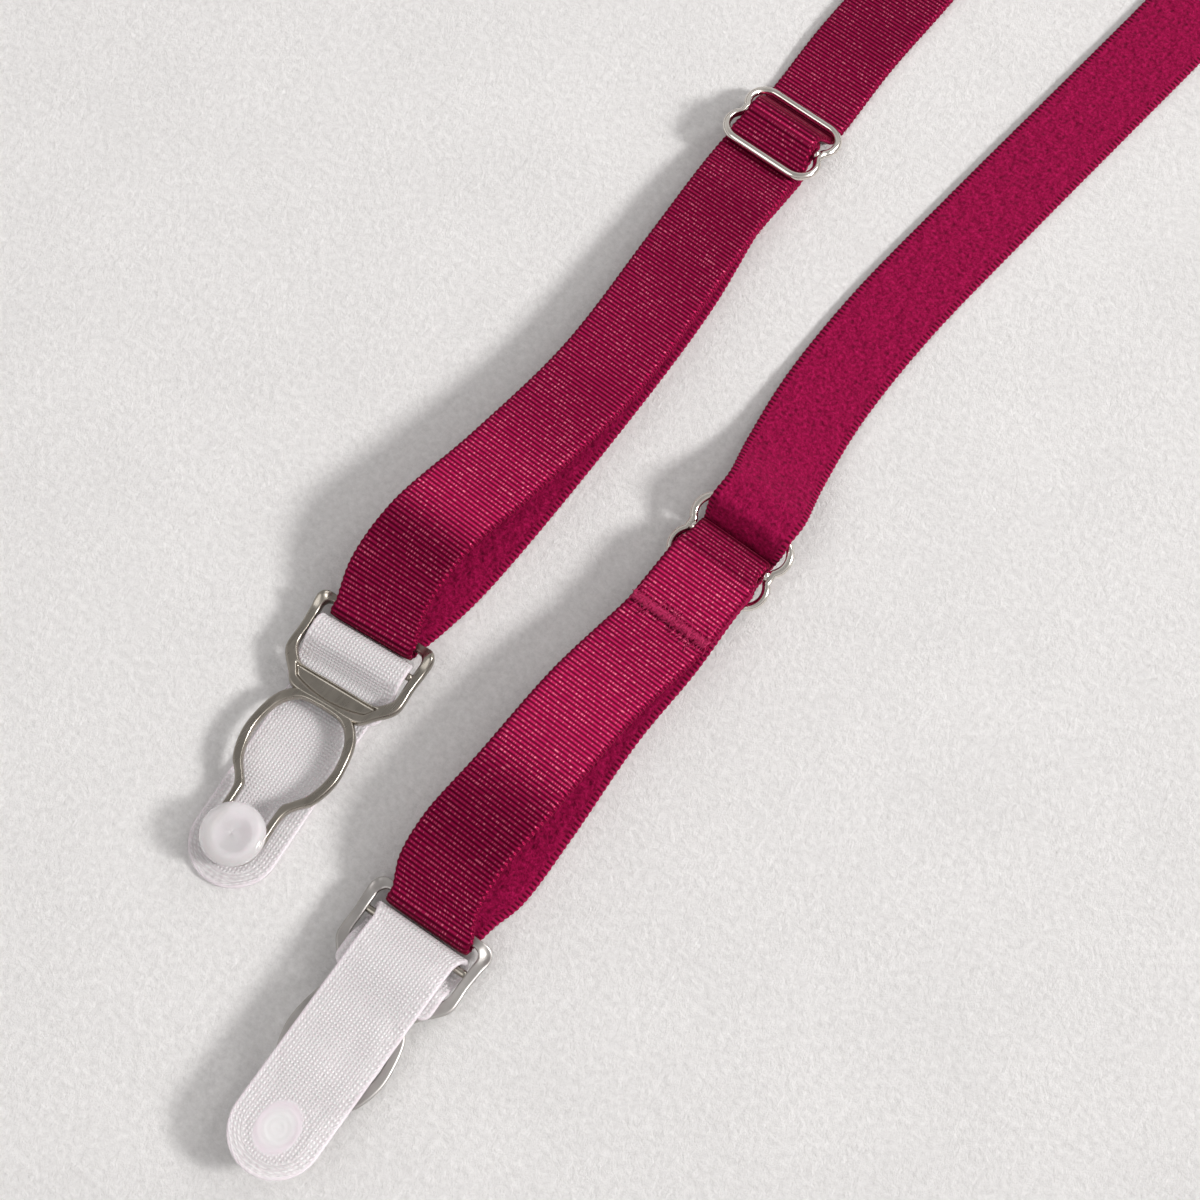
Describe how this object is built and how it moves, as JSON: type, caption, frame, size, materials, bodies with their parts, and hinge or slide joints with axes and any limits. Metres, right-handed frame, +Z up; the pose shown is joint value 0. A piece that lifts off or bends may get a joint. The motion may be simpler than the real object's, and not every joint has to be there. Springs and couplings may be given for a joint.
{
  "type": "stocking suspender pair",
  "caption": "Pair of elastic stocking suspenders, each with a wire slider and a keyhole metal clip that a rubber button tab locks into; one face up, one turned over.",
  "frame": {"origin": "under the middle of the pair, on the plane that they lie on", "axes": "+Y along the straps towards the garment, +X across the pair from the face-up strap to the turned-over one, +Z up from the plane"},
  "size_m": [0.0472, 0.213, 0.0075],
  "materials": {
    "elastic": "satin",
    "thread": "matte",
    "nickel": "polished",
    "clear_rubber": "frosted"
  },
  "bodies": {
    "straps": {"left_top_hem": "elastic", "left_hem_tack": "thread", "left_strap_lead": "elastic", "right_top_hem": "elastic", "right_hem_tack": "thread", "right_strap_lead": "elastic"},
    "left_adjuster": {"left_slider": "nickel", "left_slider_weave": "elastic", "left_sewn_end": "elastic", "left_bar_tack": "thread", "left_loop_upper": "elastic", "left_loop_lower": "elastic"},
    "left_loop_end": {"left_loop_fold": "elastic"},
    "left_clip": {"left_clip_frame": "nickel", "left_tab_fold": "clear_rubber", "left_tab_tongue": "clear_rubber"},
    "left_catch": {"left_tab_end": "clear_rubber", "left_button": "clear_rubber"},
    "right_adjuster": {"right_slider": "nickel", "right_slider_weave": "elastic", "right_sewn_end": "elastic", "right_bar_tack": "thread", "right_loop_upper": "elastic", "right_loop_lower": "elastic"},
    "right_loop_end": {"right_loop_fold": "elastic"},
    "right_clip": {"right_clip_frame": "nickel", "right_tab_fold": "clear_rubber", "right_tab_tongue": "clear_rubber"},
    "right_catch": {"right_tab_end": "clear_rubber", "right_button": "clear_rubber"}
  },
  "joints": [
    {"name": "left_slider_slide", "type": "slide", "parent": "straps", "child": "left_adjuster", "axis": [0, 1, 0], "range_m": [-0.045, 0.035], "deforming": ["left_strap_lead"]},
    {"name": "left_loop_slide", "type": "slide", "parent": "left_adjuster", "child": "left_loop_end", "axis": [0, 1, 0], "range_m": [-0.018, 0.023], "deforming": ["left_loop_upper", "left_loop_lower", "left_sewn_end"]},
    {"name": "left_clip_hinge", "type": "hinge", "parent": "left_loop_end", "child": "left_clip", "pos_m": [-0.01482, -0.04557, 0.00224], "axis": [0.9945, 0.1045, 0], "range_deg": [-75, 60]},
    {"name": "left_button_slide", "type": "slide", "parent": "left_clip", "child": "left_catch", "axis": [-0.1045, 0.9945, 0], "range_m": [0, 0.0118], "deforming": ["left_tab_tongue"]},
    {"name": "right_slider_slide", "type": "slide", "parent": "straps", "child": "right_adjuster", "axis": [0, 1, 0], "range_m": [-0.015, 0.07], "deforming": ["right_strap_lead"]},
    {"name": "right_loop_slide", "type": "slide", "parent": "right_adjuster", "child": "right_loop_end", "axis": [0, 1, 0], "range_m": [-0.0355, 0.008], "deforming": ["right_loop_upper", "right_loop_lower", "right_sewn_end"]},
    {"name": "right_clip_hinge", "type": "hinge", "parent": "right_loop_end", "child": "right_clip", "pos_m": [0.01388, -0.06997, 0.00244], "axis": [0.9986, 0.0523, 0], "range_deg": [-75, 60]},
    {"name": "right_button_slide", "type": "slide", "parent": "right_clip", "child": "right_catch", "axis": [-0.0523, 0.9986, 0], "range_m": [-0.0012, 0.0106], "deforming": ["right_tab_tongue"]}
  ],
  "couplings": [
    {"joint": "left_loop_slide", "follows": "left_slider_slide", "ratio": -0.5},
    {"joint": "right_loop_slide", "follows": "right_slider_slide", "ratio": -0.5}
  ]
}
